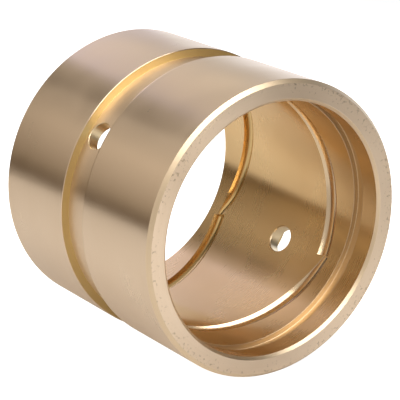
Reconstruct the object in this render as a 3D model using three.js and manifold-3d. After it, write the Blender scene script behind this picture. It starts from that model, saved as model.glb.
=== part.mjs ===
// Bronze sleeve bushing (plain bearing sleeve), lying on its side.
// Millimetres. +Z is up, the bore runs along Y, the origin is on the bore's axis at mid-length.
// The end with the ring groove faces -Y. Angles round the axis are counted from +Z towards -X.

import * as THREE from "three";
import { mergeVertices } from "three/addons/utils/BufferGeometryUtils.js";
import Module from "manifold-3d";

// ---- driving dimensions -------------------------------------------------------------------

const OUTER_RADIUS = 52.5;
const BORE_RADIUS = 45;
const LENGTH = 92.5;
const OUTER_CHAMFER = 1.3;
const BORE_CHAMFER = 1;

// Grease groove turned into the outside, over the oil holes.
const GREASE_GROOVE = { centre: 1, width: 13.6, depth: 3, fillet: 0.5 };

// Ring groove turned into the bore, near the -Y end.
const RING_GROOVE = { centre: -35.5, width: 4.8, depth: 2, fillet: 0.5 };

// Two radial oil holes through the wall, about opposite each other.
const OIL_HOLE_RADIUS = 5;
const OIL_HOLES = [
  { angle: 54.2, along: 1.9 },
  { angle: 237.5, along: 0.4 },
];

// Figure-eight oil groove in the bore: two helical passes of one turn each, cut with a round-nosed
// tool. They cross at the first oil hole and meet again on the opposite side near each end. The
// bows say how far along Y the middle of each pass's first and second leg lies off a true helix.
const OIL_GROOVE = { width: 5.6, depth: 1.6 };
const CROSSING = { angle: 54.2 + 360, along: 1 };
const OIL_PASSES = [
  { start: { angle: 238.6, along: -24.2 }, end: { angle: 596.1, along: 38.5 }, bows: [-0.85, 0] },
  { start: { angle: 236.1, along: 38.3 }, end: { angle: 598.6, along: -26.2 }, bows: [0, 0.9] },
];

// Facets of the solids.
const SLEEVE_FACETS = 72;
const FILLET_STEPS = 2;
const PASS_STEPS = 120;
const TOOL_FACETS = 16;
const HOLE_FACETS = 32;

// The facets touch the true cylinders, so the flats at top, bottom and sides keep the real size.
const FACET_SCALE = 1 / Math.cos(Math.PI / SLEEVE_FACETS);

// ---- closed solids ------------------------------------------------------------------------

const wasm = await Module();
wasm.setup();

function solidOf(geometry) {
  const bare = geometry.clone();
  bare.deleteAttribute("normal");
  bare.deleteAttribute("uv");
  const merged = mergeVertices(bare, 1e-4);
  return new wasm.Manifold(
    new wasm.Mesh({
      numProp: 3,
      vertProperties: merged.attributes.position.array,
      triVerts: new Uint32Array(merged.index.array),
    }),
  );
}

function geometryOf(solid) {
  const mesh = solid.getMesh();
  const geometry = new THREE.BufferGeometry();
  geometry.setAttribute("position", new THREE.BufferAttribute(mesh.vertProperties, 3));
  geometry.setIndex(new THREE.BufferAttribute(mesh.triVerts, 1));
  geometry.computeVertexNormals();
  return geometry;
}

// ---- places round the axis ----------------------------------------------------------------

function pointAt(radius, angle, along) {
  const a = THREE.MathUtils.degToRad(angle);
  return new THREE.Vector3(-radius * Math.sin(a), along, radius * Math.cos(a));
}

// ---- turned sleeve ------------------------------------------------------------------------

// A groove's section from one lip to the other, cut into the wall from the surface at radius: +1
// cuts outwards from the bore, -1 cuts inwards from the outside.
function grooveSection(groove, radius, into) {
  const { centre, width, depth, fillet } = groove;
  const floor = radius + into * depth;
  const points = [new THREE.Vector2(radius, -width / 2)];
  for (let i = 0; i <= FILLET_STEPS; i++) {
    const turn = (i / FILLET_STEPS) * (Math.PI / 2);
    points.push(new THREE.Vector2(
      floor - into * fillet * (1 - Math.sin(turn)),
      -width / 2 + fillet * (1 - Math.cos(turn)),
    ));
  }
  const farHalf = points.map((p) => new THREE.Vector2(p.x, -p.y)).reverse();
  return [...points, ...farHalf].map((p) => new THREE.Vector2(p.x, p.y + centre));
}

function turnedSleeve() {
  const end = LENGTH / 2;
  const outside = [
    new THREE.Vector2(OUTER_RADIUS - OUTER_CHAMFER, -end),
    new THREE.Vector2(OUTER_RADIUS, -end + OUTER_CHAMFER),
    ...grooveSection(GREASE_GROOVE, OUTER_RADIUS, -1),
    new THREE.Vector2(OUTER_RADIUS, end - OUTER_CHAMFER),
    new THREE.Vector2(OUTER_RADIUS - OUTER_CHAMFER, end),
  ];
  const bore = [
    new THREE.Vector2(BORE_RADIUS + BORE_CHAMFER, -end),
    new THREE.Vector2(BORE_RADIUS, -end + BORE_CHAMFER),
    ...grooveSection(RING_GROOVE, BORE_RADIUS, 1),
    new THREE.Vector2(BORE_RADIUS, end - BORE_CHAMFER),
    new THREE.Vector2(BORE_RADIUS + BORE_CHAMFER, end),
  ];
  const outline = [...outside, ...bore.reverse()];
  outline.push(outline[0].clone());
  const profile = outline.map((p) => new THREE.Vector2(p.x * FACET_SCALE, p.y));
  return new THREE.LatheGeometry(profile, SLEEVE_FACETS, Math.PI / SLEEVE_FACETS);
}

// ---- oil holes and oil groove -------------------------------------------------------------

function oilHole({ angle, along }) {
  const inner = BORE_RADIUS - 5;
  const outer = OUTER_RADIUS + 5;
  const hole = new THREE.CylinderGeometry(
    OIL_HOLE_RADIUS, OIL_HOLE_RADIUS, outer - inner, HOLE_FACETS,
  );
  const radial = pointAt(1, angle, 0);
  const turn = new THREE.Quaternion().setFromUnitVectors(new THREE.Vector3(0, 1, 0), radial);
  hole.applyQuaternion(turn);
  const middle = pointAt((inner + outer) / 2, angle, along);
  return hole.translate(middle.x, middle.y, middle.z);
}

// The path of the tool's centre through one pass, from its start through the crossing to its end.
class PassPath extends THREE.Curve {
  constructor(pass, radius) {
    super();
    this.pass = pass;
    this.radius = radius;
  }

  getPoint(t) {
    const { start, end, bows } = this.pass;
    const angle = THREE.MathUtils.lerp(start.angle, end.angle, t);
    const leg = angle < CROSSING.angle ? 0 : 1;
    const [from, to] = leg === 0 ? [start, CROSSING] : [CROSSING, end];
    const share = THREE.MathUtils.inverseLerp(from.angle, to.angle, angle);
    const straight = THREE.MathUtils.lerp(from.along, to.along, share);
    return pointAt(this.radius, angle, straight + bows[leg] * 4 * share * (1 - share));
  }
}

function oilPass(pass) {
  const { width, depth } = OIL_GROOVE;
  const toolRadius = (width * width / 4 + depth * depth) / (2 * depth);
  const tool = new THREE.Shape();
  tool.absarc(0, 0, toolRadius, 0, 2 * Math.PI, false);
  const path = new PassPath(pass, BORE_RADIUS + depth - toolRadius);
  return new THREE.ExtrudeGeometry(tool, {
    steps: PASS_STEPS,
    curveSegments: TOOL_FACETS / 2,
    extrudePath: path,
    bevelEnabled: false,
  });
}

function bushingSleeve() {
  let sleeve = solidOf(turnedSleeve());
  for (const hole of OIL_HOLES) sleeve = sleeve.subtract(solidOf(oilHole(hole)));
  for (const pass of OIL_PASSES) sleeve = sleeve.subtract(solidOf(oilPass(pass)));
  return geometryOf(sleeve);
}

// ---- the part -----------------------------------------------------------------------------

const bronze = new THREE.MeshStandardMaterial({ color: 0xc8a882, roughness: 0.35, metalness: 1 });

const sleeve = new THREE.Mesh(bushingSleeve(), bronze);
sleeve.name = "bushing_sleeve";

const group = new THREE.Group();
group.add(sleeve);

export default group;
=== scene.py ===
"""Looks of the bronze sleeve bushing: a finely turned sleeve that stands for the faceted CAD node,
its machined finishes, a pale floor, soft studio light and the camera, all in the CAD model's own
frame. The bore runs along Y, the photo shows the -Y end, +Z is up, and angles about the bore count
from +Z towards -X."""

import math

import bpy
import numpy as np
from mathutils import Matrix, Vector


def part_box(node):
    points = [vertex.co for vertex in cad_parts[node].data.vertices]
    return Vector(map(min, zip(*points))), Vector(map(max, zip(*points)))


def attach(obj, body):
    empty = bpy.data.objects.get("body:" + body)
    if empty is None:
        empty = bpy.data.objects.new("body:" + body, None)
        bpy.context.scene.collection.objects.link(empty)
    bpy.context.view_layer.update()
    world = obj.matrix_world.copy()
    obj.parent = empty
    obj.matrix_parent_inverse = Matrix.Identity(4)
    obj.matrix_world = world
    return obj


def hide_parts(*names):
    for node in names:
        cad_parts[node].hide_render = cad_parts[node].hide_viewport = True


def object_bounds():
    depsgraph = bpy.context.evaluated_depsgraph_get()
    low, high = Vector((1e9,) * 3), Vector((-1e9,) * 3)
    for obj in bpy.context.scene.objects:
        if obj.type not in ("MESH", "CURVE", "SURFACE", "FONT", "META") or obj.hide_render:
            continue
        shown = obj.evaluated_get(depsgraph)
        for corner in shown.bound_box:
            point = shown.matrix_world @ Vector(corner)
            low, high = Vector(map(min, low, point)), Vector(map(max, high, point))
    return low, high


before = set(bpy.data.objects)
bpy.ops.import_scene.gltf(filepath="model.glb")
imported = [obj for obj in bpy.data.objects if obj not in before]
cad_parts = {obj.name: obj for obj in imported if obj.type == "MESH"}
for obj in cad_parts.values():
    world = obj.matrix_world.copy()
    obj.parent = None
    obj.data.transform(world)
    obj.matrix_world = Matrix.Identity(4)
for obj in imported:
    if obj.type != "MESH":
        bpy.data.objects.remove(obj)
CAD_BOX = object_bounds()

MM = 0.001

# ---- sizes of the sleeve, in millimetres ------------------------------------------------------

LOW, HIGH = (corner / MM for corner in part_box("bushing_sleeve"))
OUTER_RADIUS = (HIGH.x - LOW.x) / 2
NEAR_END, FAR_END = LOW.y, HIGH.y
BORE_RADIUS = 45.0
OUTER_CHAMFER = 1.3
BORE_CHAMFER = 1.0
EDGE_BREAK = 0.16

# Turned grooves: the middle along Y, the width, the depth, and the radii in the floor's corners and
# on the near and far lips.
GREASE_GROOVE = dict(middle=1.0, width=13.6, depth=3.0, fillet=0.12, lips=(0.2, 0.3))
RING_GROOVE = dict(middle=-35.5, width=4.8, depth=2.0, fillet=0.3, lips=(0.2, 0.2))

# The grease groove's near lip is worn: how far back, how steeply, and the radius where that starts.
WORN_LIP, WORN_SLOPE, WORN_RADIUS = 0.7, 0.27, 0.3

# Oil holes: the angle about the bore and the place along Y of each. A broken edge passes through
# the point that is DEBURR_STEP of its size away from the hole's wall and below the surface.
HOLE_RADIUS = 5.0
HOLE_DEBURR = dict(outside=0.18, bore=0.3)
DEBURR_STEP = (0.37, 0.63)
OIL_HOLES = [(54.2, 1.9), (237.5, 0.4)]

# The figure-eight oil groove is two helical passes that cross at the first oil hole. The first
# one starts and stops square, and the second one fades in and out. A bow is how far along Y the
# middle of the leg before or after the crossing lies off its straight line.
OIL_WIDTH, OIL_DEPTH = 5.6, 1.6
OIL_TOOL_RADIUS = (OIL_WIDTH ** 2 / 4 + OIL_DEPTH ** 2) / (2 * OIL_DEPTH)
OIL_LIP = 0.14
LIP_FLARE = OIL_LIP * 4
CROSSING = (414.2, 1.0)
FIRST_PASS = dict(start=(238.6, -24.2), end=(596.1, 38.5), bows=(-0.85, 0), fade_in=0, fade_out=0)
SECOND_PASS = dict(start=(236.1, 38.3), end=(598.6, -26.2), bows=(0, 0.9), fade_in=13, fade_out=24)
FADED_DEPTH = 0.3

# How finely things are meshed: the sleeve round its axis, each rounded corner of its section, an oil
# groove pass along its way and across it, and a hole round its axis.
COLUMNS = 480
ROUND_STEPS = 3
PASS_STEPS = 300
PASS_SECTION = 14
HOLE_COLUMNS = 72

# How far a hole's cutter reaches past the surfaces that it opens on.
CLEARANCE = 0.8
# Edges that turn by more than this many degrees stay sharp in the cuts.
SHARP_ANGLE = 38
# A corner nearer than this to the turned section, in millimetres, gets the section's exact normal.
ON_SECTION = 0.004

# The finishes, in the order of the sleeve's material slots.
FINISHES = ["outside", "bore", "face", "chamfer", "groove_wall", "groove_floor", "ring_groove",
            "oil_groove", "hole"]


# ---- the turned body --------------------------------------------------------------------------

def groove_corners(groove, skin, into, wall, floor, after):
    """Profile corners of a turned groove, from its low-Y lip to its high-Y one. into is -1 for a
    groove in the outside and 1 for one in the bore. The finishes are those of its walls, of its
    floor, and of the surface beyond its far lip."""
    low = groove["middle"] - groove["width"] / 2
    high = groove["middle"] + groove["width"] / 2
    bottom = skin + into * groove["depth"]
    return [
        (skin, low, groove["lips"][0], wall),
        (bottom, low, groove["fillet"], floor),
        (bottom, high, groove["fillet"], wall),
        (skin, high, groove["lips"][1], after),
    ]


def profile_corners():
    """(radius, along Y, corner radius, finish of the surface that follows) round the wall's section,
    from the near end's bore edge over the outside and back through the bore. The way back meets the
    ring groove's corners in reverse."""
    rim = OUTER_RADIUS - OUTER_CHAMFER
    mouth = BORE_RADIUS + BORE_CHAMFER
    grease = groove_corners(GREASE_GROOVE, OUTER_RADIUS, -1, "groove_wall", "groove_floor", "outside")
    ring = groove_corners(RING_GROOVE, BORE_RADIUS, 1, "ring_groove", "ring_groove", "bore")
    ring_after = [finish for *_, finish in ring]
    return [
        (mouth, NEAR_END, EDGE_BREAK, "face"),
        (rim, NEAR_END, EDGE_BREAK, "chamfer"),
        (OUTER_RADIUS, NEAR_END + OUTER_CHAMFER, EDGE_BREAK, "outside"),
        (OUTER_RADIUS, grease[0][1] - WORN_LIP, WORN_RADIUS, "outside"),
        (OUTER_RADIUS - WORN_LIP * WORN_SLOPE, *grease[0][1:]),
        *grease[1:],
        (OUTER_RADIUS, FAR_END - OUTER_CHAMFER, EDGE_BREAK, "chamfer"),
        (rim, FAR_END, EDGE_BREAK, "face"),
        (mouth, FAR_END, EDGE_BREAK, "chamfer"),
        (BORE_RADIUS, FAR_END - BORE_CHAMFER, EDGE_BREAK, "bore"),
        *[(r, y, blend, after) for (r, y, blend, _), after in zip(reversed(ring), ring_after)],
        (BORE_RADIUS, NEAR_END + BORE_CHAMFER, EDGE_BREAK, "chamfer"),
    ]


def profile():
    """The section with its corners rounded: rows of radius, along Y and the outward normal's two
    parts, and the finish of the strip after each row."""
    corners = profile_corners()
    points = np.array([c[:2] for c in corners])
    rows, finishes = [], []
    for i, (*_, blend, finish) in enumerate(corners):
        before = points[i] - points[i - 1]
        before /= np.linalg.norm(before)
        after = points[(i + 1) % len(points)] - points[i]
        after /= np.linalg.norm(after)
        turn = math.atan2(before[0] * after[1] - before[1] * after[0], before @ after)
        side = math.copysign(1, turn)
        start = points[i] - before * blend * math.tan(abs(turn) / 2)
        centre = start + side * blend * np.array([-before[1], before[0]])
        for step in range(ROUND_STEPS + 1):
            angle = turn * step / ROUND_STEPS
            c, s = math.cos(angle), math.sin(angle)
            heading = np.array([c * before[0] - s * before[1], s * before[0] + c * before[1]])
            normal = np.array([heading[1], -heading[0]])
            rows.append([*(centre + side * blend * normal), *normal])
            finishes.append(FINISHES.index(finish))
    return np.array(rows), finishes


PROFILE, PROFILE_FINISHES = profile()


def ring_of(radius, along, angles):
    """Points round the bore's axis at these angles, in radians from +Z towards -X."""
    radius, along = np.broadcast_to(radius, angles.shape), np.broadcast_to(along, angles.shape)
    return np.stack([-radius * np.sin(angles), along, radius * np.cos(angles)], axis=1)


def mesh_object(name, points, faces, finishes):
    """A mesh of points in millimetres, with a finish for each face."""
    mesh = bpy.data.meshes.new(name)
    mesh.from_pydata((np.asarray(points) * MM).tolist(), [], faces)
    mesh.polygons.foreach_set("material_index", finishes)
    for finish in FINISHES:
        mesh.materials.append(MATERIALS[finish])
    piece = bpy.data.objects.new(name, mesh)
    bpy.context.scene.collection.objects.link(piece)
    return piece


def lofted(name, rings, finishes, closed=False):
    """A solid through rings of equally many points. It is closed on itself, or capped at both ends;
    finishes has one entry for each band between two rings."""
    count = len(rings[0])
    bands = len(rings) if closed else len(rings) - 1
    faces, face_finishes = [], []
    for i in range(bands):
        here, there = i * count, (i + 1) % len(rings) * count
        for j in range(count):
            k = (j + 1) % count
            faces.append((here + j, there + j, there + k, here + k))
            face_finishes.append(finishes[i])
    if not closed:
        last = (len(rings) - 1) * count
        faces.append(tuple(range(count)))
        faces.append(tuple(range(last + count - 1, last - 1, -1)))
        face_finishes += [finishes[0], finishes[-1]]
    return mesh_object(name, np.concatenate(rings), faces, face_finishes)


def turned_sleeve():
    """The sleeve before its oil grooves and holes are cut."""
    angles = np.arange(COLUMNS) * 2 * math.pi / COLUMNS
    rings = [ring_of(radius, along, angles) for radius, along, *_ in PROFILE]
    return lofted("bronze_bushing", rings, PROFILE_FINISHES, closed=True)


# ---- oil grooves and oil holes ----------------------------------------------------------------

def faded(step, steps, fade):
    """How far the cut has come in, 0 to 1 and smoothly, when fade is the share of the steps that
    this takes."""
    if fade == 0:
        return 1
    t = min(1, step / steps / fade)
    return t * t * (3 - 2 * t)


def pass_section(depth):
    """The cutter's outline as places across the pass and heights, which count outwards from the
    bore's surface: the tool's arc in the wall, and broken lips that flare inside the bore."""
    reach = math.acos((OIL_TOOL_RADIUS - depth + OIL_LIP) / OIL_TOOL_RADIUS)
    arc = np.linspace(reach, -reach, PASS_SECTION)
    across = OIL_TOOL_RADIUS * np.sin(arc)
    height = depth - OIL_TOOL_RADIUS * (1 - np.cos(arc))
    across = np.concatenate([[across[0] + LIP_FLARE], across, [across[-1] - LIP_FLARE]])
    height = np.concatenate([[OIL_LIP - LIP_FLARE], height, [OIL_LIP - LIP_FLARE]])
    return across, height


def oil_pass(name, start, end, bows, fade_in, fade_out):
    """The cutter for one helical pass from start to end through the crossing, each (angle, along Y).
    The fades are degrees about the bore."""
    rings = []
    span = end[0] - start[0]
    for step in range(PASS_STEPS + 1):
        angle = start[0] + span * step / PASS_STEPS
        before = angle < CROSSING[0]
        first, last = (start, CROSSING) if before else (CROSSING, end)
        bow = bows[0] if before else bows[1]
        t = (angle - first[0]) / (last[0] - first[0])
        along = first[1] + (last[1] - first[1]) * t + bow * 4 * t * (1 - t)
        slope = (last[1] - first[1] + bow * 4 * (1 - 2 * t)) / math.radians(last[0] - first[0])
        share = min(faded(step, PASS_STEPS, fade_in / span),
                    faded(PASS_STEPS - step, PASS_STEPS, fade_out / span))
        across, height = pass_section(FADED_DEPTH + (OIL_DEPTH - FADED_DEPTH) * share)
        lean = math.atan2(slope, BORE_RADIUS)
        radius = BORE_RADIUS + height
        turn = math.radians(angle) - across * math.sin(lean) / radius
        rings.append(ring_of(radius, along + across * math.cos(lean), turn))
    return lofted(name, rings, [FINISHES.index("oil_groove")] * PASS_STEPS)


def oil_hole(name, angle, along):
    """The cutter for a hole through the wall, with a flare that breaks its edge on the grease
    groove's floor outside and on the bore inside. Each ring follows the curve of the wall it meets."""
    groove_floor = OUTER_RADIUS - GREASE_GROOVE["depth"]
    aside, below = DEBURR_STEP
    levels = []
    for wall, size, way in ((groove_floor, HOLE_DEBURR["outside"], 1),
                            (BORE_RADIUS, HOLE_DEBURR["bore"], -1)):
        deburr = [(size + CLEARANCE, CLEARANCE), (size, 0), (size * aside, -size * below), (0, -size)]
        levels += [(wall, flare, way * lift) for flare, lift in deburr[::way]]
    about = -np.arange(HOLE_COLUMNS) * 2 * math.pi / HOLE_COLUMNS
    rings = []
    for wall, flare, lift in levels:
        sideways = (HOLE_RADIUS + flare) * np.cos(about)
        lengthways = along + (HOLE_RADIUS + flare) * np.sin(about)
        upwards = np.sqrt(wall ** 2 - sideways ** 2) + lift
        turn = math.radians(angle) + np.arctan2(sideways, upwards)
        rings.append(ring_of(np.hypot(sideways, upwards), lengthways, turn))
    return lofted(name, rings, [FINISHES.index("hole")] * (len(levels) - 1))


def cut(body, cutters):
    """Takes the cutters out of the body's mesh, one after another, and removes them."""
    for cutter in cutters:
        step = body.modifiers.new(cutter.name, "BOOLEAN")
        step.operation = "DIFFERENCE"
        step.solver = "MANIFOLD"
        step.object = cutter
    finished = body.evaluated_get(bpy.context.evaluated_depsgraph_get())
    shaped = bpy.data.meshes.new_from_object(finished)
    body.modifiers.clear()
    body.data = shaped
    for cutter in cutters:
        bpy.data.objects.remove(cutter)


def smooth(mesh):
    """Smooth shading: exact normals where the surface was turned, so the cuts leave no dents in the
    reflections, and Blender's own ones, split at real edges, in the cuts."""
    mesh.shade_smooth()
    mesh.set_sharp_from_angle(angle=math.radians(SHARP_ANGLE))
    points = np.empty(len(mesh.vertices) * 3)
    mesh.vertices.foreach_get("co", points)
    points = points.reshape(-1, 3) / MM
    radius = np.hypot(points[:, 0], points[:, 2])
    finish = np.empty(len(mesh.polygons), int)
    mesh.polygons.foreach_get("material_index", finish)
    corners = np.empty(len(mesh.loops), int)
    mesh.loops.foreach_get("vertex_index", corners)
    sizes = np.empty(len(mesh.polygons), int)
    mesh.polygons.foreach_get("loop_total", sizes)
    corner_finish = np.repeat(finish, sizes)

    # A normal of zero stands for Blender's own one.
    normals = np.zeros((len(corners), 3))
    for strip, first, last in zip(PROFILE_FINISHES, PROFILE, np.roll(PROFILE, -1, axis=0)):
        chosen = np.flatnonzero(corner_finish == strip)
        place = np.stack([radius, points[:, 1]], axis=1)[corners[chosen]]
        step = last[:2] - first[:2]
        share = np.clip((place - first[:2]) @ step / (step @ step), 0, 1)
        miss = np.linalg.norm(place - first[:2] - share[:, None] * step, axis=1)
        here = chosen[miss < ON_SECTION]
        mix = share[miss < ON_SECTION, None]
        section = first[2:] * (1 - mix) + last[2:] * mix
        spot = points[corners[here]]
        outwards = spot / radius[corners[here], None]
        normals[here] = np.stack([outwards[:, 0] * section[:, 0], section[:, 1],
                                  outwards[:, 2] * section[:, 0]], axis=1)
    mesh.normals_split_custom_set(normals.tolist())


# ---- bronze -----------------------------------------------------------------------------------

class Nodes:
    """Short ways to lay out a node tree."""

    def __init__(self, tree):
        self.tree = tree
        tree.nodes.clear()

    def add(self, kind, settings=None, **inputs):
        """A node with these settings. An input is a value or another node's output. It is named
        for its socket, with _ for a space, or by the socket's number after a _."""
        node = self.tree.nodes.new(kind)
        for name, value in (settings or {}).items():
            setattr(node, name, value)
        for name, value in inputs.items():
            number = name[1:]
            socket = node.inputs[int(number) if number.isdigit() else name.replace("_", " ")]
            if isinstance(value, bpy.types.NodeSocket):
                self.tree.links.new(value, socket)
            else:
                socket.default_value = value
        return node

    def maths(self, operation, first, second=0.0, third=0.0):
        node = self.add("ShaderNodeMath", dict(operation=operation), _0=first, _1=second, _2=third)
        return node.outputs[0]

    def remap(self, value, low, high, to_low, to_high, smooth_step=False):
        kind = "SMOOTHSTEP" if smooth_step else "LINEAR"
        return self.add("ShaderNodeMapRange", dict(interpolation_type=kind), Value=value,
                        _1=low, _2=high, _3=to_low, _4=to_high).outputs[0]

    def noise(self, vector, scale, detail=2.0, roughness=0.5):
        return self.add("ShaderNodeTexNoise", Vector=vector, Scale=scale, Detail=detail,
                        Roughness=roughness).outputs["Fac"]

    def mix(self, factor, first, second):
        """A mix of two colours. Sockets 6 and 7 are the colours of a Mix node, and 2 is its result."""
        node = self.add("ShaderNodeMix", dict(data_type="RGBA"), _0=factor)
        for socket, colour in ((node.inputs[6], first), (node.inputs[7], second)):
            if isinstance(colour, bpy.types.NodeSocket):
                self.tree.links.new(colour, socket)
            else:
                socket.default_value = (*colour, 1)
        return node.outputs[2]


# Noise scales in cycles per metre. Fine tool marks and broad ones have two, round the axis and
# across it, and a shift that sets one apart from the other.
FINE_MARKS, BROAD_MARKS = (55, 3600, 0.0), (14, 520, 7.3)
CLOUD_SCALE, PIT_SCALE, CROWD_SCALE = 38, 800, 45

# Shares of the fine and the broad marks in colour and gloss, and in height.
MARK_SHARES, HEIGHT_SHARES = (0.6, 0.4), (0.6, 0.8)
# The noise values at which marks and clouds are at their least and at their most.
MARK_RANGE, CLOUD_RANGE = (0.36, 0.64), (0.3, 0.7)
# How much clouds change the colour and the gloss, and how much tool marks change the gloss.
CLOUD_TINT, CLOUD_GLOSS, MARK_GLOSS = 0.35, 0.12, 0.22
# How far clouds move the edge where the colour darkens along Y, in metres.
DARKENING_DRIFT = 0.02

# Casting pits are where noise, with the crowding noise and the rim's share added, goes through
# PIT_RANGE. The rim's share grows between the radii of PIT_RIM, in metres. A pit dulls the colour
# towards dirt, roughens the gloss and sinks the height.
PIT_CROWDING, PIT_RANGE = 0.35, (0.86, 1.02)
PIT_RIM, RIM_SHARE = (0.0465, 0.0505), (-0.06, 0.07)
PIT_SHADE, PIT_GLOSS, PIT_DEPTH = 0.50, 0.25, -1.5

# Highlights stretch a quarter turn away from the tangent, which runs round the bore's axis.
GRAIN_TURN = 0.25


def bronze(name, colour, tint, roughness, anisotropy, marks, bump, pits=0.0, faced=False, darker_along_y=None):
    """Machined bronze. marks says how strongly the tool marks show in colour and gloss, bump their
    height in millimetres, pits how many casting pits it has, and faced turns the marks into rings
    on an end face. The last argument is a darker colour and the places along Y, in metres, between
    which the colour darkens into it: painted shade in the oil groove, and in the bore a darkening
    towards the near end."""
    material = bpy.data.materials.new(name)
    material.use_nodes = True
    n = Nodes(material.node_tree)
    place = n.add("ShaderNodeTexCoord").outputs["Object"]
    split = n.add("ShaderNodeSeparateXYZ", Vector=place)
    x, y, z = split.outputs
    if faced:
        y = n.maths("SQRT", n.maths("ADD", n.maths("MULTIPLY", x, x), n.maths("MULTIPLY", z, z)))

    def lay(round_about, across, shift):
        """Coordinates that stretch noise round the axis."""
        return n.add("ShaderNodeCombineXYZ", X=n.maths("MULTIPLY", x, round_about),
                     Y=n.maths("MULTIPLY_ADD", y, across, shift),
                     Z=n.maths("MULTIPLY", z, round_about)).outputs[0]

    fine = n.noise(lay(*FINE_MARKS), 1, 2, 0.6)
    bands = n.noise(lay(*BROAD_MARKS), 1, 3, 0.55)
    cloud = n.noise(place, CLOUD_SCALE, 3, 0.5)
    uneven = n.maths("SUBTRACT", cloud, 0.5)

    def blend(shares):
        """Fine and broad marks together."""
        return n.maths("MULTIPLY_ADD", fine, shares[0], n.maths("MULTIPLY", bands, shares[1]))

    lines = n.remap(blend(MARK_SHARES), *MARK_RANGE, 0, 1)
    clouded = n.maths("MULTIPLY", n.remap(cloud, *CLOUD_RANGE, 0, 1), CLOUD_TINT)
    shade = n.maths("MULTIPLY_ADD", lines, marks, clouded)
    base = n.mix(n.maths("MINIMUM", shade, 1.0), colour, tint)
    # A darker colour along Y: painted shade in the oil groove, a darkening towards the near end in the bore.
    if darker_along_y:
        darker_colour, begins, full = darker_along_y
        along = n.maths("MULTIPLY_ADD", uneven, DARKENING_DRIFT, y)
        base = n.mix(n.remap(along, begins, full, 0, 1, True), base, darker_colour)
    gloss = n.maths("MULTIPLY_ADD", n.maths("SUBTRACT", lines, 0.5), MARK_GLOSS * marks, roughness)
    gloss = n.maths("MULTIPLY_ADD", uneven, CLOUD_GLOSS, gloss)
    height = blend(HEIGHT_SHARES)
    if pits:
        spots = n.noise(place, PIT_SCALE, 2, 0.5)
        crowd = n.noise(place, CROWD_SCALE, 1, 0.5)
        rim = n.remap(y, *PIT_RIM, *RIM_SHARE)
        pitted = n.maths("ADD", n.maths("MULTIPLY_ADD", crowd, PIT_CROWDING, spots), rim)
        pitted = n.remap(pitted, *[edge - pits for edge in PIT_RANGE], 0, 1, True)
        base = n.mix(n.maths("MULTIPLY", pitted, PIT_SHADE), base, DIRT)
        gloss = n.maths("MULTIPLY_ADD", pitted, PIT_GLOSS, gloss)
        height = n.maths("MULTIPLY_ADD", pitted, PIT_DEPTH, height)

    relief = n.add("ShaderNodeBump", Strength=1.0, Distance=bump * MM, Height=height)
    shader = n.add("ShaderNodeBsdfPrincipled", Base_Color=base, Metallic=1.0, Roughness=gloss,
                   Normal=relief.outputs[0])
    if anisotropy:
        tangent = n.add("ShaderNodeTangent", dict(direction_type="RADIAL", axis="Y"))
        shader.inputs["Anisotropic"].default_value = anisotropy
        shader.inputs["Anisotropic Rotation"].default_value = GRAIN_TURN
        n.tree.links.new(tangent.outputs[0], shader.inputs["Tangent"])
    n.add("ShaderNodeOutputMaterial", Surface=shader.outputs[0])
    return material


SKIN = (0.80, 0.625, 0.45)
SKIN_WARM = (0.77, 0.59, 0.41)
HONED = (0.84, 0.59, 0.305)
HONED_WARM = (0.81, 0.555, 0.265)
FACED = (0.85, 0.68, 0.51)
GOLD = (0.73, 0.57, 0.28)
AMBER = (0.62, 0.43, 0.16)
PALE = (0.71, 0.55, 0.38)
BUFF = (0.78, 0.62, 0.43)
# BROWN is also the darker tint of the ring groove's painted shade.
BROWN = (0.62, 0.45, 0.25)
# Painted shade in the far lobe of the oil groove.
PAINTED_OIL_GROOVE_SHADE = (0.70, 0.49, 0.22)
# The bore's darker colour towards its near end.
BORE_NEAR_END_COLOUR = (0.63, 0.43, 0.21)
BLUNTED = (0.70, 0.54, 0.36)
# Painted shade in the ring groove.
RING_GROOVE_SHADE = (0.68, 0.52, 0.34)
DRILLED = (0.80, 0.66, 0.42)
DIRT = (0.36, 0.27, 0.17)

# The numbers are the roughness, the anisotropy, the marks and the bump.
MATERIALS = dict(
    outside=bronze("bronze_turned_outside", SKIN, SKIN_WARM, 0.30, 0.95, 0.10, 0.0004),
    # The bore darkens towards its near end, between y = -10 and -36 mm.
    bore=bronze("bronze_honed_bore", HONED, HONED_WARM, 0.28, 0.95, 0.06, 0.00005,
                darker_along_y=(BORE_NEAR_END_COLOUR, -0.010, -0.036)),
    face=bronze("bronze_faced_end", FACED, SKIN, 0.36, 0.85, 0.4, 0.004, pits=0.08, faced=True),
    chamfer=bronze("bronze_chamfer", BLUNTED, BUFF, 0.46, 0.5, 0.4, 0.003),
    groove_wall=bronze("bronze_groove_wall", GOLD, AMBER, 0.50, 0.6, 0.4, 0.0015),
    groove_floor=bronze("bronze_groove_floor", SKIN, SKIN_WARM, 0.32, 0.95, 0.10, 0.0002),
    # The ring groove's darker colours are painted shade in the groove.
    ring_groove=bronze("bronze_ring_groove", RING_GROOVE_SHADE, BROWN, 0.42, 0.0, 0.4, 0.0015),
    # The oil groove darkens and browns towards +Y: painted shade for the dim double reflections inside its
    # far lobe.
    oil_groove=bronze("bronze_oil_groove", PALE, BROWN, 0.24, 0.0, 0.3, 0.002,
                      darker_along_y=(PAINTED_OIL_GROOVE_SHADE, -0.012, 0.030)),
    hole=bronze("bronze_drilled_hole", DRILLED, BUFF, 0.40, 0.0, 0.3, 0.003),
)


# ---- the finished sleeve ----------------------------------------------------------------------

bushing = turned_sleeve()
cut(bushing, [
    oil_pass("first_pass", **FIRST_PASS),
    oil_pass("second_pass", **SECOND_PASS),
    *[oil_hole(f"hole_{i}", *hole) for i, hole in enumerate(OIL_HOLES)],
])
smooth(bushing.data)
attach(bushing, "root")
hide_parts("bushing_sleeve")


# ---- floor, light and camera ------------------------------------------------------------------

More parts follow.
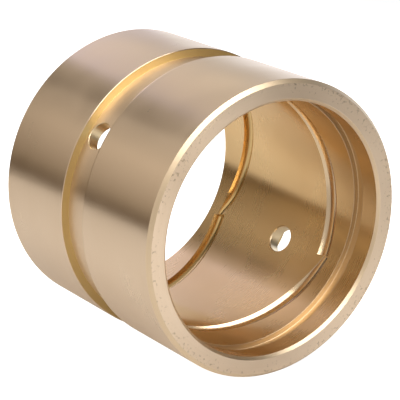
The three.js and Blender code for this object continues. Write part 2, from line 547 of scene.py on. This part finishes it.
# Metres and degrees, unless a comment says otherwise.
FLOOR_MIDDLE, FLOOR_RADIUS, FLOOR_SIDES = (-0.10, 0.05), 0.64, 64
FLOOR_COLOUR, FLOOR_WARMTH = (0.54, 0.54, 0.54), (1.0, 0.95, 0.90)
# The floor's glow, and what it adds where the camera sees the floor itself.
FLOOR_GLOW, FLOOR_SEEN = 0.25, 0.80
# Painted pools of light and painted shadow, where the floor glows more or less: the middle of each
# pool, its radius, and what it adds. The pools that take glow away are painted shadow, one of them
# just in front of the sleeve.
FLOOR_POOLS = [
    ((0.005, 0.11), 0.09, 0.30),
    ((-0.03, -0.14), 0.10, 0.12),
    ((0.08, -0.28), 0.14, 0.40),
    ((0.18, -0.19), 0.15, -0.62),
    ((0.02, -0.07), 0.07, -0.22),
]

# The two cards that the bronze reflects: where they stand along Y, the colour that they scatter,
# what each glows with, and its outline as places (along X, along Z).
CARD_DEPTH, CARD_COLOUR = 0.30, (0.02, 0.02, 0.02)
DARK_GLOW, LIGHT_GLOW = (0.05, 0.025, 0.0), (1.40, 1.42, 2.10)
DARK_CARD = [(-0.270, -0.05), (0.000, -0.05), (-0.028, 0.12), (-0.044, 0.18), (-0.050, 0.23), (-0.034, 0.30),
             (-0.085, 0.64), (-0.330, 0.57), (-0.180, 0.285), (-0.190, 0.24), (-0.215, 0.15)]
LIGHT_CARD = [(0.03, 0.02), (0.20, 0.02), (0.20, 0.10), (0.17, 0.125), (0.11, 0.170), (0.06, 0.20),
              (0.00, 0.215), (0.00, 0.18), (0.01, 0.12)]

# The room behind the sleeve: its colour at angles about Y, from the right-hand horizon (0) over the
# zenith (90) to the left-hand horizon (180), and back below them.
ROOM_STOPS = [
    (0, (1.85, 2.00, 2.30)),
    (14, (1.65, 1.80, 2.10)),
    (28, (0.80, 0.80, 0.80)),
    (48, (0.58, 0.56, 0.54)),
    (75, (0.48, 0.44, 0.38)),
    (92, (0.31, 0.265, 0.19)),
    (120, (0.64, 0.60, 0.55)),
    (143, (1.00, 0.92, 0.82)),
    (163, (0.66, 0.59, 0.51)),
    (174, (0.45, 0.39, 0.31)),
    (180, (0.14, 0.10, 0.065)),
    (200, (0.14, 0.10, 0.065)),
    (330, (0.30, 0.30, 0.30)),
    (350, (1.60, 1.72, 1.95)),
]
# The front of the room on the left and on the right, and where along the view direction's X the one
# turns into the other, and along its Y the front turns into the back.
FRONT_LEFT, FRONT_RIGHT = (0.62, 0.59, 0.55), (0.06, 0.055, 0.05)
LEFT_TO_RIGHT, FRONT_TO_BACK = (0.0, 0.45), (-0.15, 0.25)

# The camera's compass angle and height angle, its aim point in millimetres, its distance, the lens
# and the sensor's width in millimetres, and the range that it sees.
CAMERA_ANGLES = (-35.248, 18.504)
CAMERA_AIM = (0.272, -0.720, -1.290)
CAMERA_DISTANCE = 0.6194
LENS, SENSOR = 155.31, 36
NEAR_CLIP, FAR_CLIP = 0.05, 20


def sheet(name, corners, colour, shine):
    """A flat staged surface through these corners, in metres. shine makes its glow, from the tree."""
    mesh = bpy.data.meshes.new(name)
    mesh.from_pydata(corners, [], [tuple(range(len(corners)))])
    material = bpy.data.materials.new(name)
    material.use_nodes = True
    n = Nodes(material.node_tree)
    shader = n.add("ShaderNodeBsdfDiffuse", Color=(*colour, 1))
    both = n.add("ShaderNodeAddShader", _0=shader.outputs[0], _1=shine(n).outputs[0])
    n.add("ShaderNodeOutputMaterial", Surface=both.outputs[0])
    mesh.materials.append(material)
    piece = bpy.data.objects.new(name, mesh)
    bpy.context.scene.collection.objects.link(piece)
    return piece


def floor():
    """A pale sheet that the sleeve lies on, with painted pools of light and painted shadow that the bronze
    reflects.
    """
    height = CAD_BOX[0][2]
    east, north = FLOOR_MIDDLE
    angles = np.arange(FLOOR_SIDES) * 2 * math.pi / FLOOR_SIDES
    ring = [(east + FLOOR_RADIUS * math.cos(a), north + FLOOR_RADIUS * math.sin(a), height) for a in angles]

    def shine(n):
        place = n.add("ShaderNodeNewGeometry").outputs["Position"]
        straight = n.add("ShaderNodeLightPath").outputs["Is Camera Ray"]
        glow = n.maths("MULTIPLY_ADD", straight, FLOOR_SEEN, FLOOR_GLOW)
        # Each pool adds painted light to the floor's glow, or takes it away as painted shadow.
        for spot, radius, more in FLOOR_POOLS:
            away = n.add("ShaderNodeVectorMath", dict(operation="DISTANCE"), _0=place,
                         _1=(*spot, height)).outputs["Value"]
            glow = n.maths("ADD", glow, n.remap(away, radius, 0, 0, more, True))
        colour = n.mix(straight, FLOOR_WARMTH, (1, 1, 1))
        return n.add("ShaderNodeEmission", Color=colour, Strength=glow)

    sheet("floor", ring, FLOOR_COLOUR, shine)


def card(name, outline, glow):
    """A card that stands across Y behind the sleeve and is seen only as a reflection in the bronze."""
    corners = [(x, CARD_DEPTH, z) for x, z in outline]
    made = sheet(name, corners, CARD_COLOUR,
                 lambda n: n.add("ShaderNodeEmission", Color=(*glow, 1), Strength=1.0))
    made.visible_camera = made.visible_diffuse = made.visible_shadow = False


def studio():
    """A room of soft light. Behind the sleeve, at +Y, it is a light wall on the right, a dim gap above,
    a bright room on the left, and dark below that. The front only darkens from left to right. The
    camera sees plain white."""
    world = bpy.data.worlds.new("studio")
    world.use_nodes = True
    bpy.context.scene.world = world
    n = Nodes(world.node_tree)
    way = n.add("ShaderNodeTexCoord").outputs["Generated"]
    x, y, z = n.add("ShaderNodeSeparateXYZ", Vector=way).outputs
    turn = n.maths("DIVIDE", n.maths("ARCTAN2", z, x), 2 * math.pi)
    ramp = n.add("ShaderNodeValToRGB", Fac=n.maths("FRACT", n.maths("ADD", turn, 1.0)))
    stops = ramp.color_ramp.elements
    while len(stops) < len(ROOM_STOPS):
        stops.new(1.0)
    for stop, (at, colour) in zip(stops, ROOM_STOPS):
        stop.position = at / 360
        stop.color = (*colour, 1)
    front = n.mix(n.remap(x, *LEFT_TO_RIGHT, 0, 1, True), FRONT_LEFT, FRONT_RIGHT)
    room = n.mix(n.remap(y, *FRONT_TO_BACK, 0, 1, True), front, ramp.outputs[0])
    lit = n.add("ShaderNodeBackground", Color=room, Strength=1.0)
    seen = n.add("ShaderNodeBackground", Color=(1, 1, 1, 1), Strength=1.0)
    straight = n.add("ShaderNodeLightPath").outputs["Is Camera Ray"]
    both = n.add("ShaderNodeMixShader", _0=straight, _1=lit.outputs[0], _2=seen.outputs[0])
    n.add("ShaderNodeOutputWorld", Surface=both.outputs[0])


def softbox(name, towards, across, distance, width, height, power):
    """A rectangular light in that direction from the sleeve. across is the way its width runs."""
    light = bpy.data.lights.new(name, "AREA")
    light.shape = "RECTANGLE"
    light.size, light.size_y = width, height
    light.energy = power
    lamp = bpy.data.objects.new(name, light)
    back = Vector(towards).normalized()
    up = back.cross(Vector(across)).normalized()
    turned = Matrix((up.cross(back), up, back)).transposed().to_4x4()
    lamp.matrix_world = Matrix.Translation(back * distance) @ turned
    lamp.visible_camera = False
    bpy.context.scene.collection.objects.link(lamp)


def camera():
    """The camera at the photo's viewing angle."""
    azimuth, elevation = (math.radians(angle) for angle in CAMERA_ANGLES)
    back = Vector((math.sin(azimuth) * math.cos(elevation), -math.cos(azimuth) * math.cos(elevation),
                   math.sin(elevation)))
    data = bpy.data.cameras.new("camera")
    data.lens, data.sensor_width = LENS, SENSOR
    data.clip_start, data.clip_end = NEAR_CLIP, FAR_CLIP
    eye = bpy.data.objects.new("camera", data)
    eye.location = Vector(CAMERA_AIM) * MM + back * CAMERA_DISTANCE
    eye.rotation_euler = back.to_track_quat("Z", "Y").to_euler()
    bpy.context.scene.collection.objects.link(eye)
    bpy.context.scene.camera = eye


floor()
card("dark_card", DARK_CARD, DARK_GLOW)
card("light_card", LIGHT_CARD, LIGHT_GLOW)
studio()
softbox("main_softbox", towards=(-0.035, -0.568, 0.823), across=(0.96, 0.26, 0.22), distance=0.8,
        width=0.87, height=0.5, power=7.2)
camera()
bpy.context.scene.view_settings.view_transform = "Standard"
